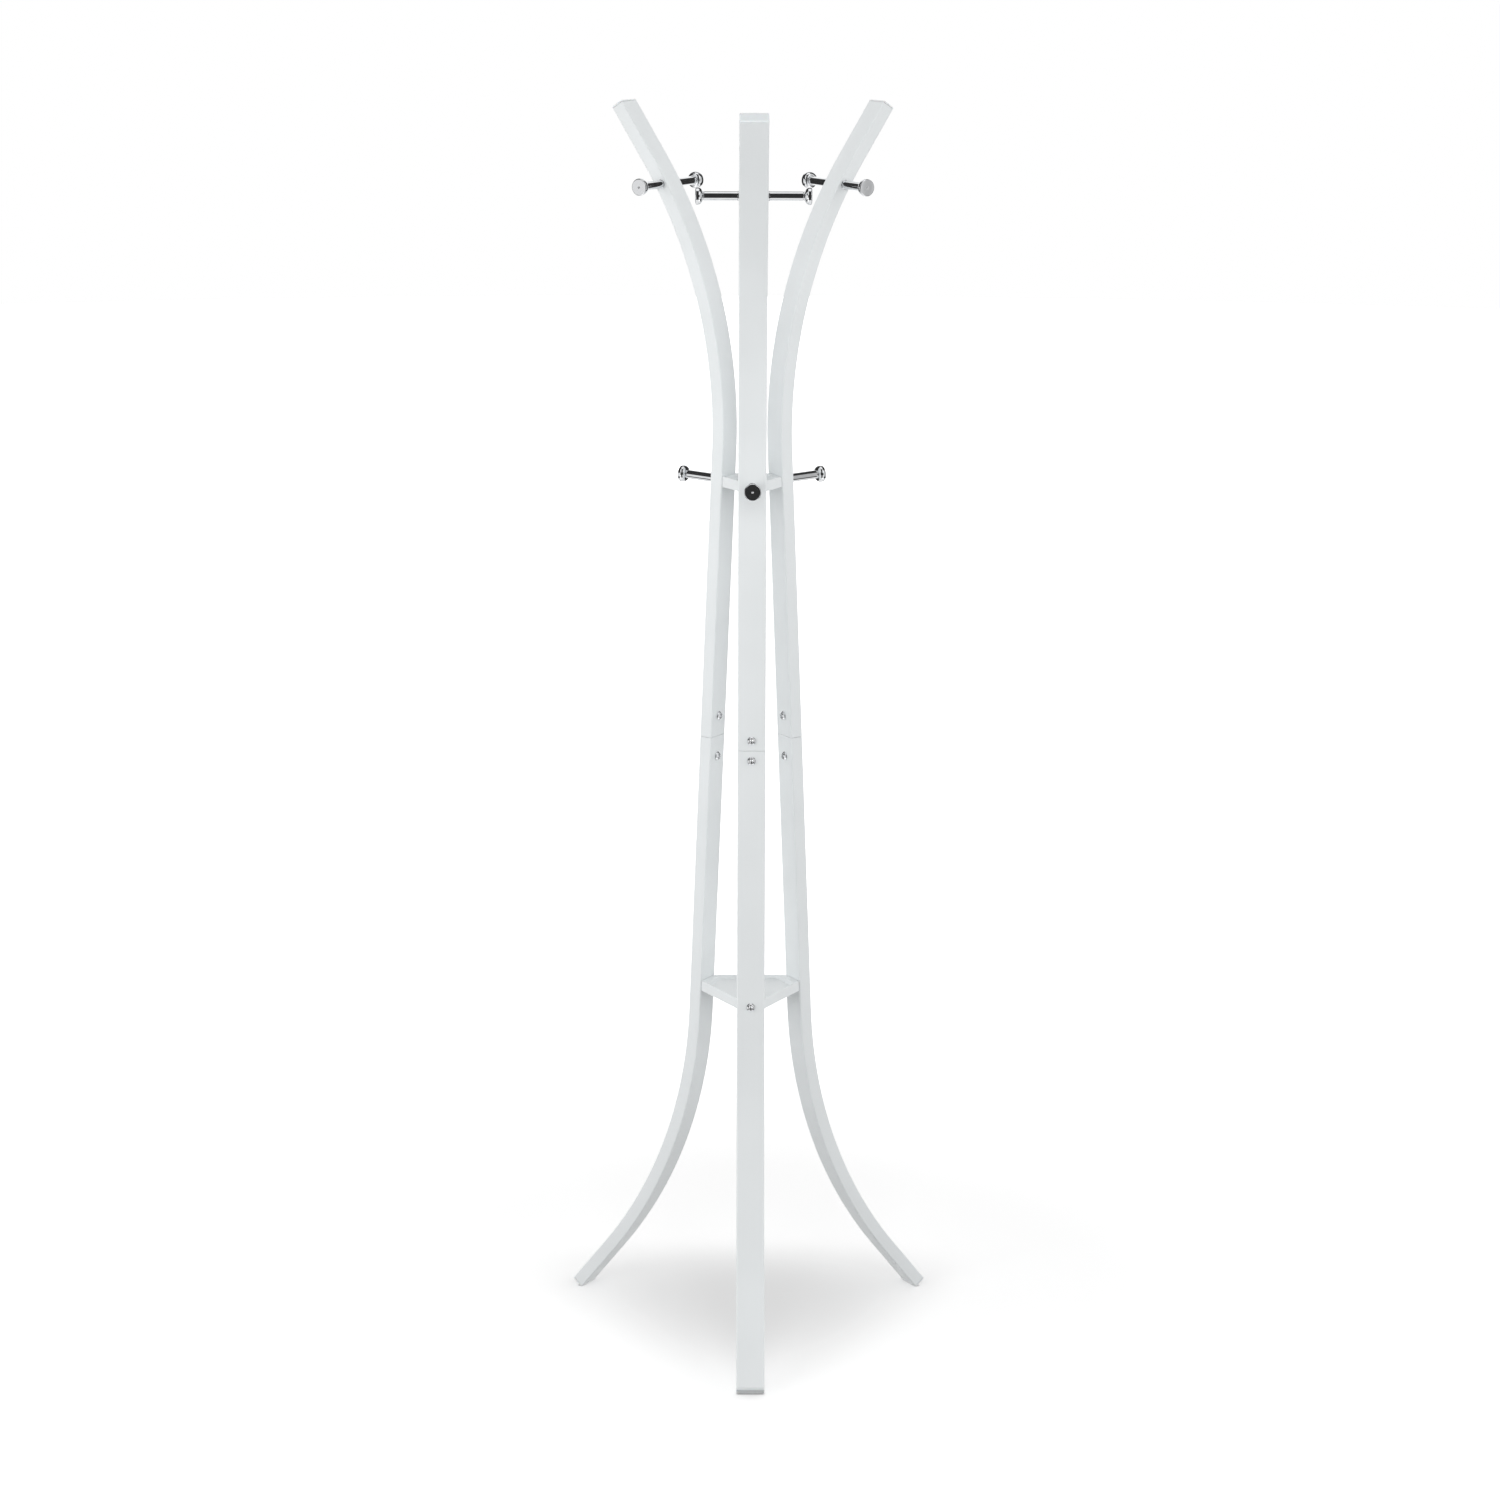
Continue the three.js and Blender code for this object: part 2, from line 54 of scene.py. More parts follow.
class Wire:
    """A shader socket that takes part in sums: a sum of wires and numbers adds its Math nodes."""

    def __init__(self, tree, socket=None):
        self.tree = tree
        self.socket = socket

    def node(self, kind, settings=None, sockets=None, output=0):
        """Adds a node: its settings first, then the values or wires of its sockets. Gives one output."""
        made = self.tree.nodes.new("ShaderNode" + kind)
        for name, value in (settings or {}).items():
            setattr(made, name, value)
        for name, value in (sockets or {}).items():
            if isinstance(value, Wire):
                self.tree.links.new(value.socket, made.inputs[name])
            else:
                made.inputs[name].default_value = value
        return Wire(self.tree, made.outputs[output] if len(made.outputs) else None)

    def maths(self, operation, *values):
        return self.node("Math", {"operation": operation}, dict(enumerate(values)))

    def __add__(self, other):
        return self.maths("ADD", self, other)

    def __sub__(self, other):
        return self.maths("SUBTRACT", self, other)

    def __rsub__(self, other):
        return self.maths("SUBTRACT", other, self)

    def __mul__(self, other):
        return self.maths("MULTIPLY", self, other)

    __radd__ = __add__
    __rmul__ = __mul__

    def parts(self):
        """The x, y and z of a vector."""
        split = self.node("SeparateXYZ", sockets={"Vector": self}).socket.node
        return [Wire(self.tree, socket) for socket in split.outputs]

    def ramp(self, low, high, bottom=0.0, top=1.0):
        """Goes smoothly from bottom, where this wire is at low, to top, where it is at high."""
        values = {"Value": self, "From Min": low, "From Max": high, "To Min": bottom, "To Max": top}
        return self.node("MapRange", {"interpolation_type": "SMOOTHSTEP"}, values)

    def mixed(self, first, second):
        """A colour between two colours, by this wire."""
        return self.node("Mix", {"data_type": "RGBA"}, {0: self, 6: first, 7: second}, output=2)

    def grey(self):
        """A grey of this level."""
        return self.node("CombineColor", sockets={"Red": self, "Green": self, "Blue": self})


def blank(owner):
    """An empty shader tree on a material or a world, as a wire to build on."""
    owner.use_nodes = True
    owner.node_tree.nodes.clear()
    return Wire(owner.node_tree)


def finish(name, shader):
    """A material whose looks the function shader(wire) gives as the sockets of one principled shader."""
    material = bpy.data.materials.new(name)
    wire = blank(material)
    surface = wire.node("BsdfPrincipled", sockets=shader(wire))
    wire.node("OutputMaterial", sockets={"Surface": surface})
    return material


def centre(node):
    low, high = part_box(node)
    return (low + high) / 2


POSTS = {"front": -90, "left": 150, "right": 30}  # azimuth of each, in degrees
axis_y = sum(centre(f"{name}_upper_peg_stud").y for name in POSTS) / len(POSTS)

ROOM_LIGHT = 0.806
ROOM_RIGHT = 0.058  # how much more comes from the right, the lamps apart
ROOM_BACK = 0.197
ROOM_TOP = 0.269
ROOM_SIDES = 0.725  # how much more comes from the two sides
ROOM_POLES = 0.956  # how much less comes from straight above and below
ROOM_LEAST = 0.05
PANEL_SOFTNESS = 0.03  # at a panel's upright edges
PANEL_END_SOFTNESS = 0.04
BRIGHT = 1.1  # levels of what chrome mirrors: overhead and behind the stand
GROUND = 0.95
LEFT_PANEL = 0.92
RIGHT_PANEL = 0.98
DARK = 0.035
room = bpy.data.worlds.new("studio")
bpy.context.scene.world = room
air = blank(room)
aim = air.node("TexCoord", output="Generated")
x, y, z = aim.parts()
even = ROOM_LIGHT + x * ROOM_RIGHT + y * ROOM_BACK + z * ROOM_TOP
even = air.maths("MAXIMUM", even + x * x * ROOM_SIDES - z * z * ROOM_POLES, ROOM_LEAST)
level = air.maths("SQRT", x * x + y * y)


def panel(azimuth, width, low, high):
    """A soft panel as a polished peg sees it: a range of directions, in degrees, with soft edges."""
    turn = math.radians(azimuth)
    across = x * math.cos(turn) + y * math.sin(turn)
    edge = math.radians(width / 2)
    reach = (across - level * math.cos(edge)).ramp(-PANEL_SOFTNESS, PANEL_SOFTNESS)
    above = z.ramp(low - PANEL_END_SOFTNESS, low + PANEL_END_SOFTNESS)
    return reach * above * z.ramp(high - PANEL_END_SOFTNESS, high + PANEL_END_SOFTNESS, 1.0, 0.0)


overhead = z.ramp(0.90, 0.95)
wall = y.ramp(0.66, 0.76)
ground = z.ramp(-0.82, -0.72, GROUND, 0.0)
left_panel = panel(207, 56, -0.55, 0.17)
right_panel = panel(-27, 44, -0.50, 0.66)
right_gap = panel(-27, 2.5, -0.5, 0.66)
aside = air.maths("ABSOLUTE", x)
slanted = air.maths("ABSOLUTE", z)
strips = aside.ramp(0.26, 0.34) * aside.ramp(0.60, 0.68, 1.0, 0.0)
strips = strips * slanted.ramp(0.22, 0.32) * y.ramp(-0.3, -0.2, 1.0, 0.0)
panels = left_panel * LEFT_PANEL + right_panel * (1 - right_gap) * RIGHT_PANEL + strips
mirrored = DARK + overhead * BRIGHT + wall * BRIGHT + ground + panels
glossy = air.node("LightPath", output="Is Glossy Ray")
seen = air.node("LightPath", output="Is Camera Ray")
lit = mirrored * glossy + even * (1 - glossy)
strength = lit * (1 - seen) + seen
backdrop = air.node("Background", sockets={"Color": (1, 1, 1, 1), "Strength": strength})
air.node("OutputWorld", sockets={"Surface": backdrop})

LAMP_SIZE = 1.2
LAMPS = {  # place from the stand's axis, height it aims at, and radiance
    "front_lamp": ((0.0, -2.0, 2.0), 1.0, 2.85),
    "left_lamp": ((-1.4, -1.4, 1.1), 1.1, 1.40),
}
for name, (spot, aimed, radiance) in LAMPS.items():
    lamp = bpy.data.objects.new(name, bpy.data.lights.new(name, "AREA"))
    lamp.data.size = LAMP_SIZE
    lamp.data.energy = radiance * math.pi * LAMP_SIZE**2
    lamp.location = Vector(spot) + Vector((0, axis_y, 0))
    lamp.rotation_euler = (Vector((0, axis_y, aimed)) - lamp.location).to_track_quat("-Z", "Y").to_euler()
    lamp.visible_glossy = False
    bpy.context.scene.collection.objects.link(lamp)

FLOOR_RADIUS = 14.0
FLOOR_SIDES = 96
# Painted shade on the floor under the stand, in place of its shadow: where it sits, how far it reaches, how
# soft and how dark it is.
SHADE_BACK = 85 * MM  # from the stand's axis back to the middle of the shade
SHADE_REACH = {"front": 173 * MM, "left": 203 * MM, "right": 203 * MM}  # to the side away from each post
SHADE_SOFTNESS = 88 * MM
SHADE_ROUNDING = 447 * MM
SHADE = 0.70
FOOT_REACH = 286 * MM  # FOOT_REACH = 286 * MM # from the axis to the painted contact shadow, a thin dark line, along each foot
FOOT_HALF = 16 * MM
FOOT_SOFTNESS = 8 * MM
FOOT_SHADE = 0.45
FLOOR_WHITE = 0.9
FLOOR_GLOW = 0.28
FLOOR_FAR_GLOW = 1.0
GLOW_NEAR = 0.5  # from the middle of the shade, where the glow starts to rise
GLOW_FAR = 1.8


def floor_looks(wire):
    """White, with a painted soft rounded triangle of shade under the posts and a painted contact shadow, a
    thin dark line, at each foot.
    """
    east, north, _ = wire.node("TexCoord", output="Object").parts()
    north = north - (axis_y + SHADE_BACK)
    near = None
    painted_foot_shadow = 1.0
    for post, azimuth in POSTS.items():
        turn = math.radians(azimuth)
        outwards = east * math.cos(turn) + north * math.sin(turn)
        over = -SHADE_REACH[post] - outwards
        near = wire.maths("SMOOTH_MAX", near, over, SHADE_ROUNDING) if near else over
        # Painted contact shadow: a thin dark line on the floor along each foot, darkest right at the foot.
        beyond = outwards + SHADE_BACK * math.sin(turn) - FOOT_REACH
        aside = north * math.cos(turn) - east * math.sin(turn) + SHADE_BACK * math.cos(turn)
        aside = wire.maths("MAXIMUM", wire.maths("ABSOLUTE", aside) - FOOT_HALF, 0)
        gap = wire.maths("SQRT", beyond * beyond + aside * aside)
        painted_foot_shadow = gap.ramp(0, FOOT_SOFTNESS, FOOT_SHADE, 1.0) * painted_foot_shadow
    # Painted shade: the floor's colour and glow darken in a soft rounded triangle under the stand and along
    # each foot.
    lit = near.ramp(-SHADE_SOFTNESS, SHADE_SOFTNESS, SHADE, 1.0) * painted_foot_shadow
    away = wire.maths("SQRT", east * east + north * north)
    glow = away.ramp(GLOW_NEAR, GLOW_FAR, FLOOR_GLOW, FLOOR_FAR_GLOW)
    return {
        "Base Color": (lit * FLOOR_WHITE).grey(),
        "Roughness": 0.9,
        "Emission Color": (lit * glow).grey(),
        "Emission Strength": 1.0,
    }


made = bmesh.new()
ring = [
    made.verts.new((FLOOR_RADIUS * math.cos(angle), FLOOR_RADIUS * math.sin(angle), 0))
    for angle in (2 * math.pi * k / FLOOR_SIDES for k in range(FLOOR_SIDES))
]
made.faces.new(ring)
sheet = bpy.data.meshes.new("floor")
made.to_mesh(sheet)
made.free()
floor = bpy.data.objects.new("floor", sheet)
floor.data.materials.append(finish("white_sweep", floor_looks))
floor.visible_diffuse = False
floor.visible_glossy = False
bpy.context.scene.collection.objects.link(floor)

CAMERA_DISTANCE = 5.1726  # from the stand's axis, along the floor
CAMERA_HEIGHT = 2.0842
CAMERA_PITCH = 13.222  # this and the next three in degrees
CAMERA_ROUND = 0.378  # to the left of the front post
CAMERA_PAN = 0.0188
CAMERA_ROLL = 0.192
CAMERA_LENS = 88.727
CAMERA_SENSOR = 36
camera = bpy.data.objects.new("camera", bpy.data.cameras.new("camera"))
camera.data.lens = CAMERA_LENS
camera.data.sensor_width = CAMERA_SENSOR
camera.data.clip_end = 100
round_angle = math.radians(CAMERA_ROUND)
camera.matrix_world = (
    Matrix.Translation(
        (
            -CAMERA_DISTANCE * math.sin(round_angle),
            axis_y - CAMERA_DISTANCE * math.cos(round_angle),
            CAMERA_HEIGHT,
        )
    )
    @ Matrix.Rotation(math.radians(CAMERA_PAN - CAMERA_ROUND), 4, "Z")
    @ Matrix.Rotation(math.radians(90 - CAMERA_PITCH), 4, "X")
    @ Matrix.Rotation(math.radians(CAMERA_ROLL), 4, "Z")
)
bpy.context.scene.collection.objects.link(camera)
bpy.context.scene.camera = camera
bpy.context.scene.view_settings.view_transform = "Standard"


# ---- Post tubes ----
# Each post is two lengths of flat mild-steel tube, 40 by 19 by 1.2 mm, bent cold at one end and butted
# together at the other. The tube is drilled for its screws, then sprayed with white powder and baked.

TUBE_WIDTH = 40 * MM
TUBE_DEPTH = 19 * MM
TUBE_CORNER = 2 * MM
TUBE_WALL = 1.2 * MM
TUBE_EDGE = 0.55 * MM  # rounding of a sawn end
TUBE_EDGE_TURN = 0.3 * TUBE_EDGE  # where the rounding's two flats meet
SEAM_STRAIGHT = 416 * MM
BEND_RADIUS = 672 * MM
BEND_ANGLE = math.radians(36.6)
END_STRAIGHT = 87 * MM
POST_LEAN = math.radians(2.6)
GAP = 0.3 * MM
HOLE = 6.6 * MM
OUTER_SCREW = 14.5 * MM  # these three from the seam
INNER_SCREW = 30 * MM
BOLT_HEIGHT = SEAM_STRAIGHT - 41.5 * MM
BEND_LENGTH = BEND_RADIUS * BEND_ANGLE
TUBE_LENGTH = SEAM_STRAIGHT + BEND_LENGTH + END_STRAIGHT
UPPER_PEG_DISTANCE = TUBE_LENGTH - 129 * MM
FACE = TUBE_DEPTH / 2
SIDE = TUBE_WIDTH / 2
BEND_STEPS = 48
CORNER_STEPS = 5
DRILL_SIDES = 32
SHARP = math.radians(32)

seam_height = centre("front_post_connector").z
seam_radius = axis_y - centre("front_post_connector").y


def centre_line(distance):
    """x, z and turn of a tube's centre line at a distance from the seam, x being outwards."""
    turn = min(max((distance - SEAM_STRAIGHT) / BEND_RADIUS, 0), BEND_ANGLE)
    straight = min(distance, SEAM_STRAIGHT)
    rest = max(distance - SEAM_STRAIGHT - BEND_LENGTH, 0)
    x = BEND_RADIUS * (1 - math.cos(turn)) + rest * math.sin(turn)
    z = straight + BEND_RADIUS * math.sin(turn) + rest * math.cos(turn)
    return x, z, turn


def seam_place(post):
    """Where a post's seam is: z up along the post, x outwards, y across its width."""
    return (
        Matrix.Translation((0, axis_y, 0))
        @ Matrix.Rotation(math.radians(POSTS[post]), 4, "Z")
        @ Matrix.Translation((seam_radius, 0, seam_height))
        @ Matrix.Rotation(-POST_LEAN, 4, "Y")
    )


def station(post, half, distance):
    """Where a tube's centre line is at a distance from the seam: z along the tube, away from the seam."""
    x, z, turn = centre_line(distance)
    flip = Matrix.Rotation(math.pi if half == "lower" else 0, 4, "X")
    return seam_place(post) @ flip @ Matrix.Translation((x, 0, z)) @ Matrix.Rotation(turn, 4, "Y")


def outline(depth, width, corner, height, place=Matrix()):
    """A ring round a rectangle with rounded corners, anticlockwise seen from +z."""
    points = []
    for quarter in range(4):
        sign_x = 1 if quarter in (0, 3) else -1
        sign_y = 1 if quarter in (0, 1) else -1
        for k in range(CORNER_STEPS + 1):
            angle = (quarter + k / CORNER_STEPS) * math.pi / 2
            x = sign_x * (depth / 2 - corner) + corner * math.cos(angle)
            y = sign_y * (width / 2 - corner) + corner * math.sin(angle)
            points.append(place @ Vector((x, y, height)))
    return points


def loft(rings, joined=False):
    """A closed skin over rings of equal counts: its two ends are filled, or joined to each other."""
    skin = bmesh.new()
    loops = [[skin.verts.new(point) for point in ring] for ring in rings]
    following = loops[1:] + loops[:1] if joined else loops[1:]
    for lower, upper in zip(loops, following):
        for k in range(len(lower)):
            skin.faces.new((lower[k - 1], lower[k], upper[k], upper[k - 1]))
    if not joined:
        skin.faces.new(list(reversed(loops[0])))
        skin.faces.new(loops[-1])
    return skin


def holed(name, skin, drills):
    """The skin as a mesh, drilled: each drill is a diameter, a start and an end."""
    bmesh.ops.recalc_face_normals(skin, faces=skin.faces)
    mesh = bpy.data.meshes.new(name)
    skin.to_mesh(mesh)
    skin.free()
    if not drills:
        return mesh
    bits = bmesh.new()
    for diameter, start, end in drills:
        run = end - start
        turn = run.to_track_quat("Z", "Y").to_matrix().to_4x4()
        bmesh.ops.create_cone(
            bits,
            cap_ends=True,
            segments=DRILL_SIDES,
            radius1=diameter / 2,
            radius2=diameter / 2,
            depth=run.length,
            matrix=Matrix.Translation((start + end) / 2) @ turn,
        )
    bit_mesh = bpy.data.meshes.new("bits")
    bits.to_mesh(bit_mesh)
    bits.free()
    blank_piece = bpy.data.objects.new("blank", mesh)
    bit = bpy.data.objects.new("bits", bit_mesh)
    for thing in (blank_piece, bit):
        bpy.context.scene.collection.objects.link(thing)
    hole = blank_piece.modifiers.new("holes", "BOOLEAN")
    hole.operation = "DIFFERENCE"
    hole.solver = "EXACT"
    hole.object = bit
    graph = bpy.context.evaluated_depsgraph_get()
    drilled = bpy.data.meshes.new_from_object(blank_piece.evaluated_get(graph), depsgraph=graph)
    drilled.name = name
    bpy.data.objects.remove(blank_piece)
    bpy.data.objects.remove(bit)
    return drilled


def stand_for(name, mesh, looks, node, place=Matrix()):
    """Puts a piece in place, with the given materials in its slots, instead of a CAD node."""
    mesh.shade_smooth()
    mesh.set_sharp_from_angle(angle=SHARP)
    piece = bpy.data.objects.new(name, mesh)
    bpy.context.scene.collection.objects.link(piece)
    piece.matrix_world = place
    if not mesh.materials:
        for look in looks:
            mesh.materials.append(look)
    even_out = piece.modifiers.new("flat_faces", "WEIGHTED_NORMAL")
    even_out.keep_sharp = True
    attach(piece, "root")
    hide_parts(node)


def powder_looks(wire):
    """Baked powder: a satin film with a fine orange peel, a trace of cloudiness and a cool white."""
    place = wire.node("TexCoord", output="Object")
    peel = wire.node("TexNoise", sockets={"Vector": place, "Scale": 620.0, "Detail": 2.0})
    wave = wire.node("TexNoise", sockets={"Vector": place, "Scale": 170.0, "Detail": 1.0})
    cloud = wire.node("TexNoise", sockets={"Vector": place, "Scale": 7.0, "Detail": 2.0})
    haze = wire.node("TexNoise", sockets={"Vector": place, "Scale": 48.0, "Detail": 3.0})
    nibs = wire.node("TexVoronoi", sockets={"Vector": place, "Scale": 85.0}, output="Distance")
    nib = nibs.ramp(0.045, 0.075, 1.0, 0.0)
    colour = cloud.ramp(0.3, 0.7).mixed((0.785, 0.812, 0.820, 1), (0.815, 0.842, 0.850, 1))
    height = peel * 0.6 + wave * 0.9 + nib * 0.35
    bump = wire.node("Bump", sockets={"Strength": 0.35, "Distance": 0.00006, "Height": height})
    return {
        "Base Color": colour,
        "Roughness": haze.ramp(0.3, 0.7, 0.36, 0.46),
        "Specular IOR Level": 0.45,
        "Normal": bump,
    }


powder_coat = finish("white_powder_coat", powder_looks)


def tube(post, half):
    """One tube in place: its outside from the seam to the end, then its inside back to the seam."""
    sections = [(GAP / 2, TUBE_EDGE), (GAP / 2 + TUBE_EDGE_TURN, TUBE_EDGE_TURN), (GAP / 2 + TUBE_EDGE, 0)]
    sections += [(SEAM_STRAIGHT + BEND_LENGTH * k / BEND_STEPS, 0) for k in range(BEND_STEPS + 1)]
    sections += [(TUBE_LENGTH - TUBE_EDGE, 0), (TUBE_LENGTH - TUBE_EDGE_TURN, TUBE_EDGE_TURN)]
    sections += [(TUBE_LENGTH, TUBE_EDGE)]

    def ring(distance, inset, corner):
        place = station(post, half, distance)
        return outline(TUBE_DEPTH - 2 * inset, TUBE_WIDTH - 2 * inset, corner, 0, place)

    outside = [ring(distance, inset, TUBE_CORNER - inset) for distance, inset in sections]
    inside = [ring(distance, TUBE_WALL, TUBE_CORNER - TUBE_WALL) for distance, _ in sections]
    skin = loft(outside + inside[::-1], joined=True)

    place = seam_place(post) @ Matrix.Rotation(math.pi if half == "lower" else 0, 4, "X")
    through = [
        (OUTER_SCREW, 0, TUBE_DEPTH),
        (INNER_SCREW, 0, -TUBE_DEPTH),
        (BOLT_HEIGHT, -TUBE_DEPTH, TUBE_DEPTH),
    ]
    drills = [(HOLE, place @ Vector((a, 0, up)), place @ Vector((b, 0, up))) for up, a, b in through]
    if half == "upper":
        x, up, _ = centre_line(UPPER_PEG_DISTANCE)
        ends = [place @ Vector((x, across, up)) for across in (-TUBE_WIDTH, TUBE_WIDTH)]
        drills.append((HOLE, *ends))
    return holed(f"{post}_{half}_tube", skin, drills)


for post in POSTS:
    for half in ("upper", "lower"):
        name = f"{post}_{half}_tube"
        stand_for(name, tube(post, half), [powder_coat], f"{post}_{half}_post")


# ---- Connector sleeves ----
# Inside each butt joint sits a short sleeve of plain zinc-plated steel, which the four joint screws pull
# against the tube. Nothing of it shows when the post is screwed up, so the CAD piece serves.


def zinc_looks(wire):
    """Bright zinc plate: grey metal with a soft crystal mottle and a trace of blue."""
    place = wire.node("TexCoord", output="Object")
    mottle = wire.node("TexVoronoi", sockets={"Vector": place, "Scale": 420.0}, output="Color")
    patch = mottle.node("RGBToBW", sockets={"Color": mottle})
    grain = wire.node("TexNoise", sockets={"Vector": place, "Scale": 900.0, "Detail": 3.0})
    colour = patch.mixed((0.52, 0.54, 0.57, 1), (0.62, 0.63, 0.64, 1))
    bump = wire.node("Bump", sockets={"Strength": 0.3, "Distance": 0.00002, "Height": grain})
    return {
        "Base Color": colour,
        "Metallic": 1.0,
        "Roughness": grain.ramp(0.3, 0.7, 0.26, 0.42),
        "Normal": bump,
    }


zinc_plate = finish("zinc_plate", zinc_looks)
for post in POSTS:
    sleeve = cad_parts[f"{post}_post_connector"]
    sleeve.data.materials.clear()
    sleeve.data.materials.append(zinc_plate)


# ---- Screws ----
# Button-head screws with a hexagon socket, M6, bright chromed. Two stand above and two below each seam, one
# of each pair on the outer face and one on the inner, and a longer one holds the tray to each post.

THREAD = 6 * MM
PITCH = 1 * MM
THREAD_DEPTH = 0.5 * MM
RINGS_PER_PITCH = 5
HEAD_WIDTH = 13 * MM
HEAD_HEIGHT = 3.2 * MM
HEAD_EDGE = 0.6 * MM
HEAD_SEAT_EDGE = 0.25 * MM
CROWN_RADIUS = 7.6 * MM
CROWN_STEPS = 8
SOCKET_ACROSS = 6 * MM
SOCKET_DEPTH = 2 * MM
SOCKET_LIP = 0.18 * MM
SOCKET_CONE = 1.2 * MM  # depth of the drill's cone below the socket
SOCKET_POINT = 0.3 * MM
TIP = 0.6 * MM  # taper at a thread's end
SCREW_SIDES = 36
SHEET = 1.5 * MM
NUT_HEIGHT = 5 * MM
THREAD_STICKOUT = 2 * MM
SLEEVE_WALL = 2.5 * MM
SKIRT_FACE = FACE + GAP
NUT_FACE = SKIRT_FACE + SHEET + GAP
BOLT_END = NUT_FACE + NUT_HEIGHT + THREAD_STICKOUT
JOINT_SCREW = GAP + TUBE_WALL + GAP + SLEEVE_WALL + THREAD_STICKOUT
OUTWARDS = Vector((1, 0, 0))
INWARDS = Vector((-1, 0, 0))


def circle(radius, height, sides=SCREW_SIDES):
    angles = [2 * math.pi * k / sides for k in range(sides)]
    return [Vector((radius * math.cos(a), radius * math.sin(a), height)) for a in angles]


def hexagon(across, height, limit=1.0):
    """A hexagon's ring, flats facing x, with its corners kept inside a radius."""
    points = []
    for k in range(SCREW_SIDES):
        angle = 2 * math.pi * k / SCREW_SIDES
        off_flat = (angle + math.pi / 6) % (math.pi / 3) - math.pi / 6
        radius = min(across / 2 / math.cos(off_flat), limit)
        points.append(Vector((radius * math.cos(angle), radius * math.sin(angle), height)))
    return points


def thread(start, end, sides=SCREW_SIDES):
    """Rings of a right-hand thread that fades in at both of its ends."""
    steps = round((end - start) / PITCH * RINGS_PER_PITCH)
    rings = []
    for step in range(steps + 1):
        height = start + (end - start) * step / steps
        fade = min(1, (height - start) / PITCH, (end - height) / PITCH)
        ring = []
        for k in range(sides):
            share = (height / PITCH - k / sides) % 1
            radius = THREAD / 2 - THREAD_DEPTH * fade * abs(2 * share - 1)
            angle = 2 * math.pi * k / sides
            ring.append(Vector((radius * math.cos(angle), radius * math.sin(angle), height)))
        rings.append(ring)
    return rings


def screw_mesh(length):
    """A screw whose head seats at z = 0, thread down."""
    rings = [circle(THREAD / 2 - TIP, -length), *thread(TIP - length, 0)]
    rings += [circle(HEAD_WIDTH / 2 - HEAD_SEAT_EDGE, 0), circle(HEAD_WIDTH / 2, HEAD_SEAT_EDGE)]
    edge_angle = math.asin(HEAD_WIDTH / 2 / CROWN_RADIUS)
    top_angle = math.acos(math.cos(edge_angle) + (HEAD_HEIGHT - HEAD_EDGE) / CROWN_RADIUS)
    for k in range(CROWN_STEPS + 1):
        angle = edge_angle + (top_angle - edge_angle) * k / CROWN_STEPS
        rise = CROWN_RADIUS * (math.cos(angle) - math.cos(edge_angle))
        rings.append(circle(CROWN_RADIUS * math.sin(angle), HEAD_EDGE + rise))
    rings += [
        hexagon(SOCKET_ACROSS + 2 * SOCKET_LIP, HEAD_HEIGHT),
        hexagon(SOCKET_ACROSS, HEAD_HEIGHT - SOCKET_LIP),
        hexagon(SOCKET_ACROSS, HEAD_HEIGHT - SOCKET_DEPTH),
        circle(SOCKET_POINT, HEAD_HEIGHT - SOCKET_DEPTH - SOCKET_CONE),
    ]
    return holed("screw", loft(rings), [])


def pointing(direction, distance):
    """From a piece made along z to its place on a face, pointing away from the tube."""
    turn = Vector((0, 0, 1)).rotation_difference(direction).to_matrix().to_4x4()
    return Matrix.Translation(direction * distance) @ turn


def screw_looks(wire):
    """Bright chrome with faint handling marks."""
    place = wire.node("TexCoord", output="Object")
    marks = wire.node("TexNoise", sockets={"Vector": place, "Scale": 700.0, "Detail": 4.0})
    bump = wire.node("Bump", sockets={"Strength": 0.15, "Distance": 0.00001, "Height": marks})
    return {
        "Base Color": marks.ramp(0.3, 0.7).mixed((0.84, 0.85, 0.87, 1), (0.90, 0.91, 0.92, 1)),
        "Metallic": 1.0,
        "Roughness": marks.ramp(0.35, 0.65, 0.16, 0.24),
        "Normal": bump,
    }


screw_chrome = finish("screw_chrome", screw_looks)
joint_screw = screw_mesh(JOINT_SCREW)
tray_screw = screw_mesh(FACE + GAP + BOLT_END)
for post in POSTS:
    for half in ("upper", "lower"):
        for face, direction, height in (("outer", OUTWARDS, OUTER_SCREW), ("inner", INWARDS, INNER_SCREW)):
            place = station(post, half, height) @ pointing(direction, FACE + GAP)
            node = f"{post}_{face}_{half}_screw"
            stand_for(f"{node}_m6", joint_screw, [screw_chrome], node, place)
    place = station(post, "lower", BOLT_HEIGHT) @ pointing(OUTWARDS, FACE + GAP)
    node = f"{post}_tray_screw"
    stand_for(f"{node}_m6", tray_screw, [screw_chrome], node, place)


# ---- Nuts and studs ----
# Zinc-plated M6 hexagon nuts under the plate and the tray, and lengths of M6 studding: one through each
# middle peg's bolt hole, and one through both sides of each post for its pair of upper pegs.

NUT_ACROSS = 10 * MM
NUT_CHAMFER = 0.45 * MM
NUT_CORNER = 0.1 * MM  # how far an end's ring passes the flats
NUT_MOUTH = 0.1 * MM + NUT_CHAMFER  # beyond the thread's radius
NUT_BORE = 0.15 * MM
PEG_BORE_DEPTH = 13 * MM
STUD_SIDES = 24


